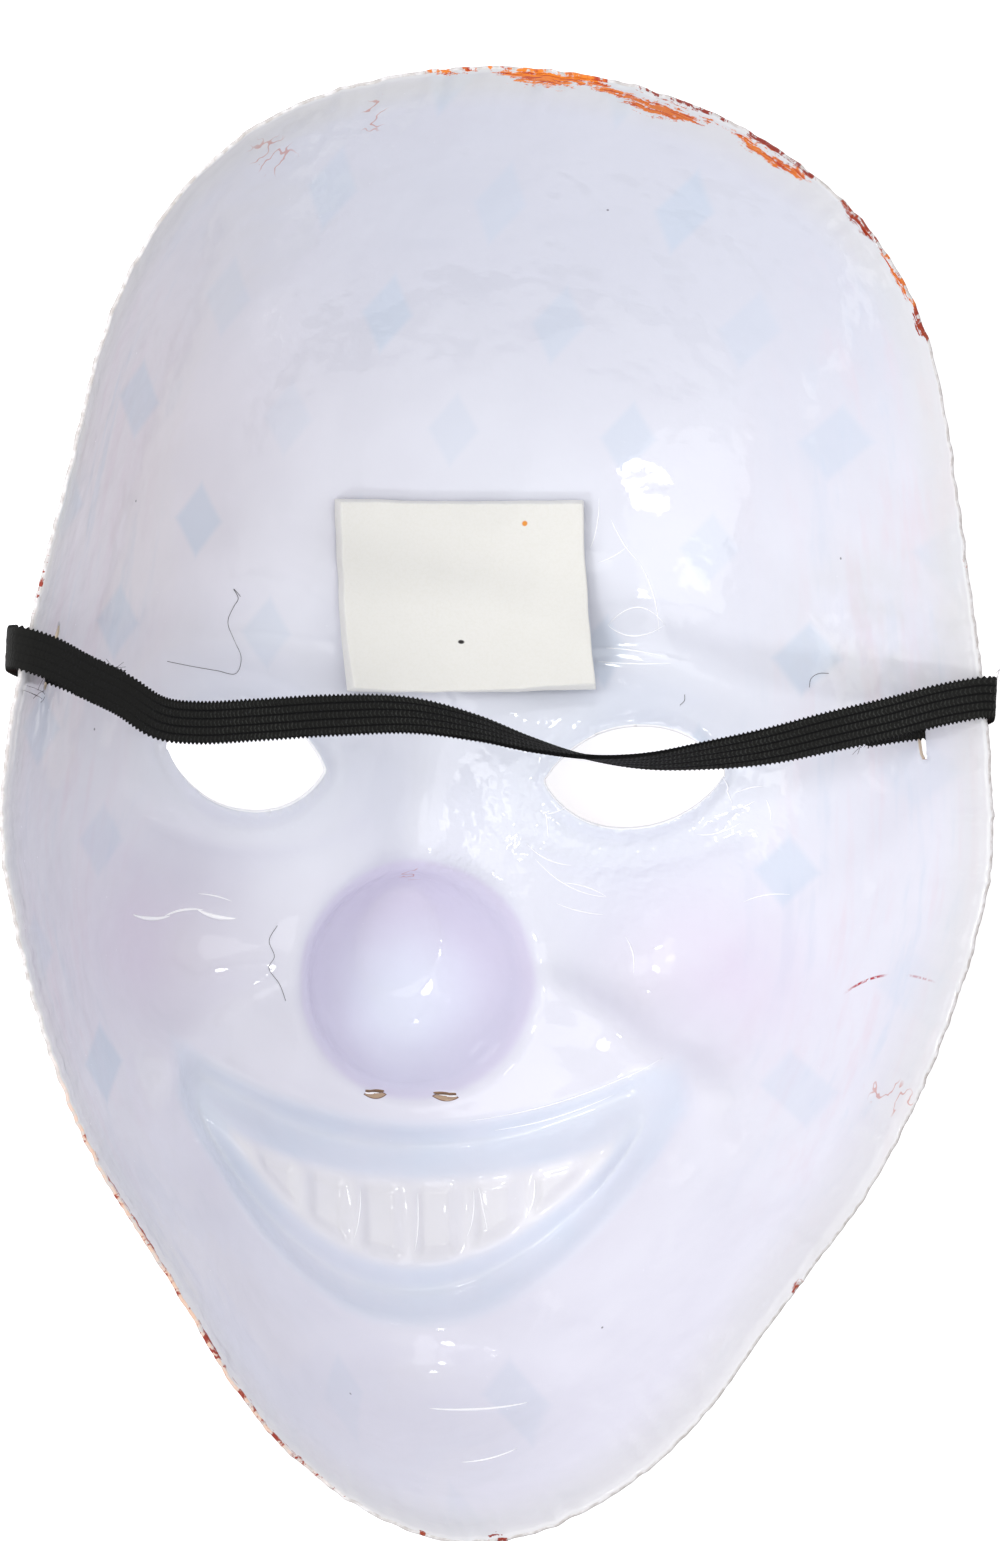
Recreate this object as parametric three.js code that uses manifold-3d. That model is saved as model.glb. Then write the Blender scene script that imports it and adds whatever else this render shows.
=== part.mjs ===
// A clown mask of thin formed plastic with a foam pad and an elastic band, lying face down, hollow side up.
// Millimetres. +Z up, +Y towards the forehead, +X to the right of someone who looks down into the hollow.
//
// The face has coordinates of its own: u to the right, v towards the forehead, depth from the rim's plane
// to the front of the face. The whole is then tilted until it rests on the nose and the forehead.

import * as THREE from 'three';
import { mergeVertices } from 'three/addons/utils/BufferGeometryUtils.js';
import Module from 'manifold-3d';

// Driving dimensions of the outline
const TOP = 125;
const CHIN = -125;
const HALF_WIDTH = 86.2;
const WIDEST_V = -5.2;
const TEMPLE_TAPER = 0.097;
const TAPER_END = 68;
const JAW_TAPER = 0.059;
const JAW_V = -87;
const JAW_REACH = 18.8;
const LEAN = -1.8;
const LEAN_FROM = 90;

// The formed sheet
const WALL = 0.7;
const LIP_WIDTH = 1.2;
const LIP_DEPTH = 1.4;
const DOME_DEPTH = 64;
const DOME_SQUARENESS = 3.4;
const DOME_FALL = 0.85;

// The ball nose
const NOSE_V = -32.5;
const NOSE_RADIUS = 20.5;
const NOSE_LIFT = 23;

// Eye holes, nostril slits and the slots of the band
const EYE = { u: 35.5, v: 6, halfWidth: 15.2, halfHeight: 9 };
const NOSTRIL = { u: 6.5, width: 4.2, height: 1.3 };
const SLOT = { length: 11, width: 2.6, depth: 17 };
const SLOT_V = { right: 17.3, left: 21.5 };

// The smile: an upper and a lower edge that bend up towards their shared corners
const SMILE = { top: -64, topBend: 0.007, low: -88, lowBend: 0.0185 };
const TEETH = { count: 6, halfSpan: 31, gap: 1.4, margin: 5.2, proud: 1.7, sunk: 0.5 };

// The pad and the band
const PAD = { u: 4.1, v: 37.1, width: 46, height: 35, thick: 3.5, turn: 0.05, skew: 0.068, over: 1.4 };
const BAND = { width: 7, thick: 1, chamfer: 0.3, steps: 64, turnFrom: -45, turnTo: 85 };

// How it lies: tilt of the rim's plane, and how far the nose tip would reach below the floor,
// which is the amount that its small flat takes away
const TILT = THREE.MathUtils.degToRad(16.2);
const NOSE_FLAT_SINK = 1.2;
const LENGTH_SHIFT = 0.01;

// Fineness of the shell's mesh
const SPOKES = 60;
const NOSE_RINGS = 5;
const FACE_RINGS = 22;

const smooth = THREE.MathUtils.smoothstep;
const hill = (x, width) => Math.exp(-((x / width) ** 2));

// Half the outline's width at height v: squarish above its widest place, tapering to the chin below it
function halfWidth(v) {
  if (v > WIDEST_V) {
    const up = Math.min(1, (v - WIDEST_V) / (TOP - WIDEST_V));
    return HALF_WIDTH * Math.sqrt(1 - up ** 4.37) * (1 - TEMPLE_TAPER * smooth(v, WIDEST_V, TAPER_END));
  }
  const down = THREE.MathUtils.clamp((WIDEST_V - v) / (WIDEST_V - CHIN), 0, 1);
  return HALF_WIDTH * (1 - down ** 1.43) ** 0.55 * (1 - JAW_TAPER * hill(v - JAW_V, JAW_REACH));
}

// The sheet was trimmed by hand, and its outline leans a little to the left towards the top
const lean = (v) => LEAN * smooth(v, LEAN_FROM, TOP);

// Distance from the nose, in a direction, to the outline drawn in by inset
function reach(angle, inset) {
  const across = 1 - inset / HALF_WIDTH;
  const along = 1 - inset / TOP;
  let inside = 0;
  let outside = TOP - CHIN;
  for (let i = 0; i < 40; i += 1) {
    const r = (inside + outside) / 2;
    const v = (NOSE_V + r * Math.sin(angle)) / along;
    const off = Math.abs(r * Math.cos(angle) - lean(v) * across);
    const within = v < TOP && v > CHIN && off < halfWidth(v) * across;
    if (within) inside = r;
    else outside = r;
  }
  return inside;
}

const smileTop = (u) => SMILE.top + SMILE.topBend * u * u;
const smileLow = (u) => SMILE.low + SMILE.lowBend * u * u;

// The ball: a half ellipsoid that runs out into the face in a small fillet
function noseLift(u, v) {
  const x = Math.hypot(u, v - NOSE_V) / NOSE_RADIUS;
  const filletFrom = 0.965;
  const filletTo = 1.16;
  if (x < filletFrom) return NOSE_LIFT * Math.sqrt(1 - x * x);
  if (x > filletTo) return 0;
  const start = NOSE_LIFT * Math.sqrt(1 - filletFrom ** 2);
  return start * ((filletTo - x) / (filletTo - filletFrom)) ** 2;
}

// The friendly arch over each eye and the bridge of the nose
function browAndBridge(u, v) {
  const a = Math.abs(u);
  const bridge = 7 * hill(u, 10) * hill(v + 4, 20);
  const browLine = 27 - 0.008 * (a - 32) ** 2;
  return bridge + 5 * hill(v - browLine, 8) * hill(a - 34, 24);
}

// What else the face adds to the plain dome: forehead, sockets, cheeks, muzzle, lips and chin
function features(u, v) {
  const a = Math.abs(u);
  const forehead = 7 * hill(u, 55) * hill(v - 66, 38);
  const socket = -9 * hill(a - EYE.u, 19) * hill(v - EYE.v, 14);
  const cheek = 11 * hill(a - 46, 17) * hill(v + 29, 16);
  const muzzle = 5 * hill(u, 40) * hill(v + 72, 26);
  const chin = 11 * hill(u, 20) * hill(v + 106, 13);
  const chinCrease = -3 * hill(u, 24) * hill(v + 95, 5);

  const inMouth = 1 - smooth(a, 40, 48);
  const lips = 4.2 * (hill(v - smileTop(u) - 1, 4) + hill(v - smileLow(u) + 1, 4)) * inMouth;
  const between = (smileTop(u) + smileLow(u)) / 2;
  const mouth = -2.5 * hill(v - between, 8) * (1 - smooth(a, 30, 40));
  const corner = -4 * hill(a - 49, 5) * hill(v + 48, 5);

  const foldReach = Math.hypot(a - 10, v + 75) - 44;
  const foldTurn = Math.atan2(v + 75, a - 10) - 0.85;
  const fold = -2.5 * hill(foldReach, 4) * Math.exp(-((foldTurn / 0.5) ** 4));

  return forehead + socket + cheek + muzzle + chin + chinCrease + lips + mouth + corner + fold;
}

// Depth of the outer face of the sheet at any place inside the outline
function depthAt(u, v, brows = 1) {
  const angle = Math.atan2(v - NOSE_V, u);
  const r = Math.hypot(u, v - NOSE_V);
  const fold = reach(angle, LIP_WIDTH);
  const s = r / fold;
  if (s >= 1) {
    const edge = reach(angle, 0);
    return LIP_DEPTH * Math.max(0, (edge - r) / (edge - fold));
  }
  const dome = DOME_DEPTH * (1 - s ** DOME_SQUARENESS) ** DOME_FALL;
  const fade = 1 - smooth(s, 0.82, 0.98);
  return LIP_DEPTH + dome + (features(u, v) + brows * browAndBridge(u, v)) * fade + noseLift(u, v);
}

// Points in face coordinates, as (u, v, -depth), moved by offset along the sheet's normal to the front
function facePoint(u, v, offset = 0, brows = 1) {
  const step = 0.4;
  const du = (depthAt(u + step, v, brows) - depthAt(u - step, v, brows)) / (2 * step);
  const dv = (depthAt(u, v + step, brows) - depthAt(u, v - step, brows)) / (2 * step);
  const normal = new THREE.Vector3(-du, -dv, -1).normalize();
  return new THREE.Vector3(u, v, -depthAt(u, v, brows)).addScaledVector(normal, offset);
}

const noseTip = facePoint(0, NOSE_V);
const lie = new THREE.Matrix4().makeRotationX(-TILT);
const tipBelow = noseTip.clone().applyMatrix4(lie).z;
lie.premultiply(new THREE.Matrix4().makeTranslation(0, LENGTH_SHIFT, -tipBelow - NOSE_FLAT_SINK));

// A closed mesh as a solid for cutting and joining, and back
const wasm = await Module();
wasm.setup();

function toSolid(geometry) {
  const bare = geometry.clone();
  for (const name of Object.keys(bare.attributes)) {
    if (name !== 'position') bare.deleteAttribute(name);
  }
  const merged = mergeVertices(bare, 1e-4);
  return new wasm.Manifold(new wasm.Mesh({
    numProp: 3,
    vertProperties: new Float32Array(merged.attributes.position.array),
    triVerts: new Uint32Array(merged.index.array),
  }));
}

function toGeometry(solid) {
  const mesh = solid.getMesh();
  const geometry = new THREE.BufferGeometry();
  geometry.setAttribute('position', new THREE.BufferAttribute(mesh.vertProperties, 3));
  geometry.setIndex(new THREE.BufferAttribute(mesh.triVerts, 1));
  geometry.computeVertexNormals();
  return geometry;
}

// Every vertex of a geometry goes through a function that gives its new place
function bend(geometry, move) {
  const position = geometry.attributes.position;
  const point = new THREE.Vector3();
  for (let i = 0; i < position.count; i += 1) {
    point.fromBufferAttribute(position, i);
    const moved = move(point);
    position.setXYZ(i, moved.x, moved.y, moved.z);
  }
  return geometry;
}

// The outline's distance from the middle of the mask, in a direction
function rimRadius(angle) {
  let inside = 0;
  let outside = TOP;
  for (let i = 0; i < 40; i += 1) {
    const r = (inside + outside) / 2;
    const v = r * Math.sin(angle);
    if (Math.abs(r * Math.cos(angle) - lean(v)) < halfWidth(v)) inside = r;
    else outside = r;
  }
  return inside;
}

// Where a ring crosses a spoke, in face coordinates. Spokes run from the nose tip to points spread round
// the rim, a little closer at the top and the chin. Rings go over the ball and the face to the lip's edge.
const RINGS = NOSE_RINGS + FACE_RINGS + 1;

function ringPlace(ring, spoke) {
  const spread = spoke + 0.12 * Math.sin(2 * spoke);
  const edge = new THREE.Vector2(Math.cos(spread), Math.sin(spread)).multiplyScalar(rimRadius(spread));
  const angle = edge.sub(new THREE.Vector2(0, NOSE_V)).angle();
  let r = reach(angle, 0);
  if (ring <= NOSE_RINGS) {
    r = NOSE_RADIUS * Math.sin((ring / NOSE_RINGS) * (Math.PI / 2));
  } else if (ring < RINGS) {
    const t = (ring - NOSE_RINGS) / FACE_RINGS;
    const even = THREE.MathUtils.lerp(t, Math.sin(t * (Math.PI / 2)), 0.5);
    r = THREE.MathUtils.lerp(NOSE_RADIUS, reach(angle, LIP_WIDTH), even);
  }
  return new THREE.Vector2(r * Math.cos(angle), NOSE_V + r * Math.sin(angle));
}

// The sheet is a sphere pressed flat: one half becomes the front of the face, the other the hollow side
function formedSheet() {
  const rows = 2 * RINGS + 1;
  const sheet = new THREE.SphereGeometry(1, SPOKES, rows);
  const places = [];
  bend(sheet, (p) => {
    const row = Math.round((Math.acos(THREE.MathUtils.clamp(p.y, -1, 1)) / Math.PI) * rows);
    const front = row <= RINGS;
    const place = ringPlace(front ? row : rows - row, Math.atan2(p.z, p.x));
    places.push(new THREE.Vector3(place.x, place.y, depthAt(place.x, place.y)));
    const lies = facePoint(place.x, place.y, front ? 0 : -WALL).applyMatrix4(lie);
    lies.z = Math.max(lies.z, front ? 0 : WALL);
    return lies;
  });
  return splitAlongForm(sheet, places);
}

// Each four-sided cell is split along the diagonal that lies nearer to the face's true form
function splitAlongForm(sheet, places) {
  const off = (i, j) => {
    const middle = places[i].clone().add(places[j]).multiplyScalar(0.5);
    return Math.abs(middle.z - depthAt(middle.x, middle.y));
  };
  const index = Array.from(sheet.index.array);
  for (let k = 3 * SPOKES; k < index.length - 3 * SPOKES; k += 6) {
    const [a, b, d, , c] = index.slice(k, k + 6);
    if (off(a, c) < off(b, d)) index.splice(k, 6, a, b, c, a, c, d);
  }
  sheet.setIndex(index);
  return sheet;
}

// An eye hole: a lens with softly pointed corners, rising a little towards the temple
function eyeCutter(side) {
  const steps = 13;
  const rise = 0.1;
  const lid = (x) => EYE.halfHeight * (1 - Math.abs(x) ** 2.2) ** 0.8;
  const points = [];
  for (let i = 0; i < 2 * steps; i += 1) {
    const x = Math.cos((i / steps) * Math.PI);
    const lift = i < steps ? lid(x) : -lid(x);
    points.push(new THREE.Vector2(side * x * EYE.halfWidth, lift + rise * x * EYE.halfWidth));
  }
  const cutter = new THREE.ExtrudeGeometry(new THREE.Shape(points), {
    depth: 2 * DOME_DEPTH,
    bevelEnabled: false,
  });
  return cutter.translate(side * EYE.u, EYE.v, -2 * DOME_DEPTH).applyMatrix4(lie);
}

// A slot for the band, cut through the steep wall beside the temple
function slotCutter(side, v) {
  const inset = 8.5;
  const through = 11;
  const cutter = new THREE.BoxGeometry(through, SLOT.length, SLOT.width);
  cutter.translate(side * (halfWidth(v) - inset), v, -SLOT.depth);
  return cutter.applyMatrix4(lie);
}

// A nostril: a small slit under the ball, where it meets the lip
function nostrilCutter(side) {
  const cutter = new THREE.BoxGeometry(NOSTRIL.width, NOSTRIL.height, DOME_DEPTH);
  cutter.translate(side * NOSTRIL.u, NOSE_V - NOSE_RADIUS - 0.4, -DOME_DEPTH - LIP_DEPTH);
  return cutter.applyMatrix4(lie);
}

// A tooth, raised from the sheet, or with a smaller size and less depth the hollow behind it
function toothBlock(index, shrink, front, back) {
  const pitch = (2 * TEETH.halfSpan) / TEETH.count;
  const u = (index + 0.5) * pitch - TEETH.halfSpan;
  const width = pitch - TEETH.gap - 2 * shrink;
  const block = new THREE.BoxGeometry(width, 2, 2, 1, 2, 1);
  return bend(block, (p) => {
    const at = u + p.x;
    const low = smileLow(at) + TEETH.margin + shrink;
    const high = smileTop(at) - TEETH.margin - shrink;
    const v = THREE.MathUtils.lerp(low, high, (p.y + 1) / 2);
    return facePoint(at, v, p.z > 0 ? -back : front).applyMatrix4(lie);
  });
}

function maskShell() {
  let solid = toSolid(formedSheet());
  for (let i = 0; i < TEETH.count; i += 1) {
    solid = solid.add(toSolid(toothBlock(i, 0, TEETH.proud, TEETH.sunk - 0.2)));
    solid = solid.subtract(toSolid(toothBlock(i, WALL, TEETH.proud - WALL, 3)));
  }
  for (const side of [-1, 1]) {
    solid = solid.subtract(toSolid(eyeCutter(side)));
    solid = solid.subtract(toSolid(nostrilCutter(side)));
  }
  solid = solid.subtract(toSolid(slotCutter(1, SLOT_V.right)));
  solid = solid.subtract(toSolid(slotCutter(-1, SLOT_V.left)));
  return toGeometry(solid);
}

// The foam pad follows the inside of the forehead and bridges the hollows of the brows
function foreheadPad() {
  const block = new THREE.BoxGeometry(PAD.width, PAD.height, 2, 7, 5, 1);
  return bend(block, (p) => {
    const x = p.x - PAD.skew * p.y;
    const u = PAD.u + x * Math.cos(PAD.turn) - p.y * Math.sin(PAD.turn);
    const v = PAD.v + x * Math.sin(PAD.turn) + p.y * Math.cos(PAD.turn);
    const under = p.z < 0;
    const lies = facePoint(u, v, -PAD.over - (under ? 0 : PAD.thick), 0).applyMatrix4(lie);
    lies.z = Math.max(lies.z, PAD.over + (under ? 0 : PAD.thick));
    return lies;
  });
}

// The band's route in face coordinates (u, v, height over the rim's plane), from its cut end by the right
// slot, out through the slot, over the rim, across the hollow, and the same way out and in on the left
const BAND_ROUTE = [
  [67.3, 16.6, -18.4], [70.5, 17.3, -17.9], [73.9, 18, -17.3], [77.3, 18.6, -16.9],
  [80.5, 19.2, -15.9], [83.1, 20, -12.6], [84.7, 21, -8], [85.15, 21.8, -3.6], [85.1, 22.3, -0.8],
  [84.3, 22.6, 1.3], [82.6, 22.6, 2], [80, 22.1, 1.3], [75.8, 20.9, -2], [69, 18.4, -7.6],
  [60, 15.5, -14.2], [50, 12.4, -19.6], [40, 10.3, -23.4], [30, 8.9, -25.6], [20, 9.1, -26.8],
  [10, 10.8, -27.2], [0, 13.2, -27], [-12, 14.8, -26], [-26, 14.1, -23.8], [-40, 12.6, -20.4],
  [-51, 11.6, -16.4], [-58, 12.1, -13.2], [-65, 15.6, -9.4], [-72, 18.2, -4.4], [-77.8, 20.6, 0],
  [-81, 21.6, 1.6], [-83, 22.1, 2.1], [-84.7, 22.5, 1.4], [-85.4, 22.5, -0.7], [-85.3, 22.4, -5.4],
  [-84, 22, -11], [-81.2, 21.3, -15.5], [-77.6, 20.8, -16.9], [-74, 19.8, -17.3], [-69.5, 18.2, -17.9],
  [-64.6, 16.4, -18.6],
];

// A flat section swept along the route. It lies level at both rims and turns over once, between the eyes.
function elasticBand() {
  const stops = BAND_ROUTE.map((p) => new THREE.Vector3(...p));
  const route = new THREE.CatmullRomCurve3(stops, false, 'centripetal');
  const w = BAND.width / 2;
  const t = BAND.thick / 2;
  const c = BAND.chamfer;
  const section = new THREE.Shape([
    [w, c - t], [w, t - c], [w - c, t], [c - w, t], [-w, t - c], [-w, c - t], [c - w, -t], [w - c, -t],
  ].map((p) => new THREE.Vector2(...p)));
  const strip = new THREE.ExtrudeGeometry(section, { depth: 1, steps: BAND.steps, bevelEnabled: false });
  return bend(strip, (p) => {
    const along = THREE.MathUtils.clamp(p.z, 0, 1);
    const centre = route.getPoint(along);
    const ahead = route.getTangent(along);
    const across = new THREE.Vector3(0, 1, 0);
    across.addScaledVector(ahead, -across.dot(ahead)).normalize();
    across.applyAxisAngle(ahead, Math.PI * smooth(centre.x, BAND.turnFrom, BAND.turnTo));
    const flat = new THREE.Vector3().crossVectors(ahead, across);
    return centre.addScaledVector(across, p.x).addScaledVector(flat, p.y).applyMatrix4(lie);
  });
}

function part(name, geometry, color, roughness) {
  const mesh = new THREE.Mesh(geometry, new THREE.MeshStandardMaterial({ color, roughness, metalness: 0 }));
  mesh.name = name;
  return mesh;
}

const group = new THREE.Group();
group.add(part('mask_shell', maskShell(), '#e4e1f0', 0.2));
group.add(part('forehead_pad', foreheadPad(), '#ecebe1', 0.9));
group.add(part('elastic_band', elasticBand(), '#17181a', 0.8));

export default group;
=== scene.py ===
# %% [markdown]
# # A clown mask, seen from its hollow side
# The real thing is one thin sheet of plastic, formed over a mould while it was hot, with a foam pad glued
# inside the forehead and a flat elastic band through two slots. Here it lies face down, so the hollow, glossy
# side looks up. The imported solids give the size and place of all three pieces. This script builds each of
# them again with the finer form and finish that can be seen from a step away.

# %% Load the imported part
import math

import bmesh
import bpy
import numpy as np
from mathutils import Matrix, Vector, noise


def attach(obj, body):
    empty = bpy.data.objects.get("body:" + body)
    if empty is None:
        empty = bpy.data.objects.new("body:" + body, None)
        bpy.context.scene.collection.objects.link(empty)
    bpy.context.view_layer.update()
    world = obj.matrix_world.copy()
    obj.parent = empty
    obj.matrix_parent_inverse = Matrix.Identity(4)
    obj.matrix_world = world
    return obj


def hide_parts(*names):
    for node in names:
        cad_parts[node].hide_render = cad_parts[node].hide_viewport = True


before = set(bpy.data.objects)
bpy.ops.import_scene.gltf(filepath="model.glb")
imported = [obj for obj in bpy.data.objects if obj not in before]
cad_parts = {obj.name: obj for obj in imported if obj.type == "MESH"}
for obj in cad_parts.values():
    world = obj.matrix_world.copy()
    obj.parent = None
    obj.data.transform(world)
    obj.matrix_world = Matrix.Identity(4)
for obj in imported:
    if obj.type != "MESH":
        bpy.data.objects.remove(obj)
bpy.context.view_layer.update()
MM = 0.001

# %% [markdown]
# ## The face's own coordinates
# The mask lies tilted on its nose and forehead, which makes its form awkward to write down. So the form is
# worked out in coordinates of the face: u to the right, v towards the forehead and w over the plane of the
# rim, in millimetres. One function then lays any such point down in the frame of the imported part. The values
# are those of the part's own source, so both models keep one form.

# %% Values of the outline and the sheet
TOP = 125
CHIN = -125
HALF_WIDTH = 86.2
WIDEST_V = -5.2
TEMPLE_TAPER = 0.097
TAPER_END = 68
JAW_TAPER = 0.059
JAW_V = -87
JAW_REACH = 18.8
LEAN = -1.8
LEAN_FROM = 90

WALL = 0.7
LIP_WIDTH = 1.2
LIP_DEPTH = 1.4
RIM_SLOPE = 1.4
RIM_REACH = 5
STEEP = 3.3
SOFT_FOLD = 1.5
DOME_DEPTH = 64
DOME_SQUARENESS = 3.4
DOME_FALL = 0.85

NOSE_V = -32.5
NOSE_RADIUS = 20.5
NOSE_LIFT = 23
EYE = {"u": 35.5, "v": 6, "half_width": 15.2, "half_height": 9, "rise": 0.1}
NOSTRIL = {"u": 6.5, "v": NOSE_V - NOSE_RADIUS - 0.4, "half_width": 2.1, "half_height": 0.65}
SLOT = {"half_length": 5.5, "half_depth": 0.975, "depth": 17, "right": 17.3, "left": 21.5}
SMILE = {"top": -64, "top_bend": 0.007, "low": -88, "low_bend": 0.0185}
TEETH = {"count": 6, "half_span": 31, "gap": 1.4, "margin": 5.2, "proud": 1.7}

TILT = math.radians(16.2)
NOSE_FLAT_SINK = 1.2
LENGTH_SHIFT = 0.01


# %% Small curves that the form is made of
def hill(x, width):
    return np.exp(-((x / width) ** 2))


def smooth(x, low, high):
    t = np.clip((x - low) / (high - low), 0, 1)
    return t * t * (3 - 2 * t)


def half_width(v):
    """Half the outline's width: squarish over its widest place, tapering to the chin below it."""
    up = np.clip((v - WIDEST_V) / (TOP - WIDEST_V), 0, 1)
    over = np.sqrt(1 - up**4.37) * (1 - TEMPLE_TAPER * smooth(v, WIDEST_V, TAPER_END))
    down = np.clip((WIDEST_V - v) / (WIDEST_V - CHIN), 0, 1)
    under = (1 - down**1.43) ** 0.55 * (1 - JAW_TAPER * hill(v - JAW_V, JAW_REACH))
    return HALF_WIDTH * np.where(v > WIDEST_V, over, under)


def lean(v):
    """The sheet was trimmed by hand, and its outline leans a little to the left towards the top."""
    return LEAN * smooth(v, LEAN_FROM, TOP)


HALVINGS = 40


def to_outline(angle, from_v, inset=0):
    """Distance from a place on the middle line to the outline drawn in by inset, found by halving."""
    across, along = 1 - inset / HALF_WIDTH, 1 - inset / TOP
    inside, outside = np.zeros_like(angle), np.full_like(angle, TOP - CHIN)
    for _ in range(HALVINGS):
        r = (inside + outside) / 2
        v = (from_v + r * np.sin(angle)) / along
        off = np.abs(r * np.cos(angle) - lean(v) * across)
        within = (v < TOP) & (v > CHIN) & (off < half_width(v) * across)
        inside, outside = np.where(within, r, inside), np.where(within, outside, r)
    return inside


STEPS_A_DEGREE = 8
ANGLES = np.linspace(-math.pi, math.pi, 360 * STEPS_A_DEGREE + 1)
TO_EDGE = to_outline(ANGLES, NOSE_V)
TO_FOLD = to_outline(ANGLES, NOSE_V, LIP_WIDTH)
print("outline reaches", round(TO_EDGE.min(), 1), "to", round(TO_EDGE.max(), 1), "mm from the nose")


# %% The form of the face
# Height, place in u and v, half width and half height of each swelling or hollow, alike on both sides.
SWELLINGS = {
    "forehead": (7, 0, 66, 55, 38),
    "eye socket": (-9, EYE["u"], EYE["v"], 19, 14),
    "cheek": (11, 46, -29, 17, 16),
    "muzzle": (5, 0, -72, 40, 26),
    "chin": (11, 0, -106, 20, 13),
    "hollow over the chin": (-3, 0, -95, 24, 5),
    "corner of the mouth": (-4, 49, -48, 5, 5),
}
RELIEF_FADE = (0.82, 0.98)


def smile_top(u):
    return SMILE["top"] + SMILE["top_bend"] * u * u


def smile_low(u):
    return SMILE["low"] + SMILE["low_bend"] * u * u


def nose_lift(u, v):
    """The ball: a half ellipsoid that runs out into the face in a small fillet."""
    x = np.hypot(u, v - NOSE_V) / NOSE_RADIUS
    fillet_from, fillet_to = 0.965, 1.16
    ball = np.sqrt(1 - np.minimum(x, fillet_from) ** 2)
    run_out = np.clip((fillet_to - x) / (fillet_to - fillet_from), 0, 1) ** 2
    return NOSE_LIFT * ball * np.where(x < fillet_from, 1, run_out)


def brows(u, v):
    a = np.abs(u)
    bridge = 7 * hill(u, 10) * hill(v + 4, 20)
    return bridge + 5 * hill(v - (27 - 0.008 * (a - 32) ** 2), 8) * hill(a - 34, 24)


def features(u, v):
    """What the face adds to a plain dome: swellings and hollows, lips and laugh folds."""
    a = np.abs(u)
    total = 0
    for height, at_u, at_v, wide, tall in SWELLINGS.values():
        total = total + height * hill(a - at_u, wide) * hill(v - at_v, tall)
    lips = hill(v - smile_top(u) - 1, 4) + hill(v - smile_low(u) + 1, 4)
    total = total + 4.2 * lips * (1 - smooth(a, 40, 48))
    between = (smile_top(u) + smile_low(u)) / 2
    total = total - 2.5 * hill(v - between, 8) * (1 - smooth(a, 30, 40))
    fold_reach = np.hypot(a - 10, v + 75) - 44
    fold_turn = np.arctan2(v + 75, a - 10) - 0.85
    return total - 2.5 * hill(fold_reach, 4) * np.exp(-((fold_turn / 0.5) ** 4))


# %% [markdown]
# ## The finer relief
# Hot plastic takes over more of the mould than the plain solids show: each tooth has rounded shoulders, the
# lids have a raised edge, small folds lie under the eyes and along the lips, and the sheet is never quite
# even. Each is one more term of height, kept to a millimetre or two so that the part's form stays.

# %% Teeth, lids, folds and unevenness
def eye_measure(u, v):
    """1 on the edge of an eye hole, less inside and more outside."""
    x = np.abs(u) - EYE["u"]
    y = v - EYE["v"] - EYE["rise"] * x
    return np.abs(x / EYE["half_width"]) ** 2.2 + np.abs(y / EYE["half_height"]) ** 1.25


def teeth(u, v):
    pitch = 2 * TEETH["half_span"] / TEETH["count"]
    place = (u + TEETH["half_span"]) / pitch
    off_middle = np.abs(place - np.floor(place) - 0.5)
    side = (0.5 - off_middle) * pitch - TEETH["gap"] / 2
    low = v - smile_low(u) - TEETH["margin"]
    high = smile_top(u) - TEETH["margin"] - v
    crown = smooth(side, -0.7, 2.4) * smooth(low, -0.7, 2.4) * smooth(high, -0.7, 2.4)
    return (TEETH["proud"] + 0.3 - 2.4 * off_middle**2) * crown * (np.abs(u) < TEETH["half_span"])


def fine_relief(u, v):
    a = np.abs(u)
    lid = 0.9 * hill(eye_measure(u, v) - 1.4, 0.22)
    under_eye = -0.7 * hill(np.hypot((a - 34) / 1.5, v - 8) - 17.5, 1.4) * smooth(2 - v, 0, 8)
    lip_edges = hill(v - smile_top(u) - 5.6, 1.2) + hill(v - smile_low(u) + 5.6, 1.2)
    lip_edges = -0.8 * lip_edges * (1 - smooth(a, 36, 46))
    brow_line = -0.5 * (hill(v - 42 - 1.2 * np.sin(u / 11), 1.6) + hill(v - 49 - np.sin(u / 13 + 1), 1.5))
    brow_line = brow_line * (1 - smooth(a, 22, 44)) * 0.6
    uneven = 0.16 * np.sin(u / 9 + 1.7 * np.sin(v / 15)) * np.sin(v / 11 + 1.3 * np.sin(u / 17))
    uneven = uneven + 0.07 * np.sin(u / 3.9 + 2.1 * np.sin(v / 6)) * np.sin(v / 4.7 + 1.9 * np.sin(u / 7))
    return lid + under_eye + lip_edges + brow_line + uneven + teeth(u, v)


def depth_at(u, v, with_brows=1.0, with_fine=1.0):
    """Depth of the front of the sheet under the rim's plane. The fine relief also softens the fold there."""
    angle = np.arctan2(v - NOSE_V, u)
    r = np.hypot(u, v - NOSE_V)
    fold = np.interp(angle, ANGLES, TO_FOLD)
    edge = np.interp(angle, ANGLES, TO_EDGE)
    s = np.minimum(r / fold, 1)
    lip = LIP_DEPTH * np.clip((edge - r) / (edge - fold), 0, 1)
    relief = features(u, v) + with_brows * brows(u, v) + with_fine * fine_relief(u, v)
    dome = DOME_DEPTH * (1 - s**DOME_SQUARENESS) ** DOME_FALL
    face = LIP_DEPTH + dome + relief * (1 - smooth(s, *RELIEF_FADE))
    wall = face - STEEP * np.maximum(r - fold, 0)
    slope = RIM_SLOPE * np.minimum(edge - r, RIM_REACH)
    soft = np.maximum((wall + slope + np.sqrt((wall - slope) ** 2 + SOFT_FOLD**2)) / 2, 0)
    sharp = np.where(r >= fold, lip, face)
    return np.where(with_fine, soft, sharp) + nose_lift(u, v)


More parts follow.
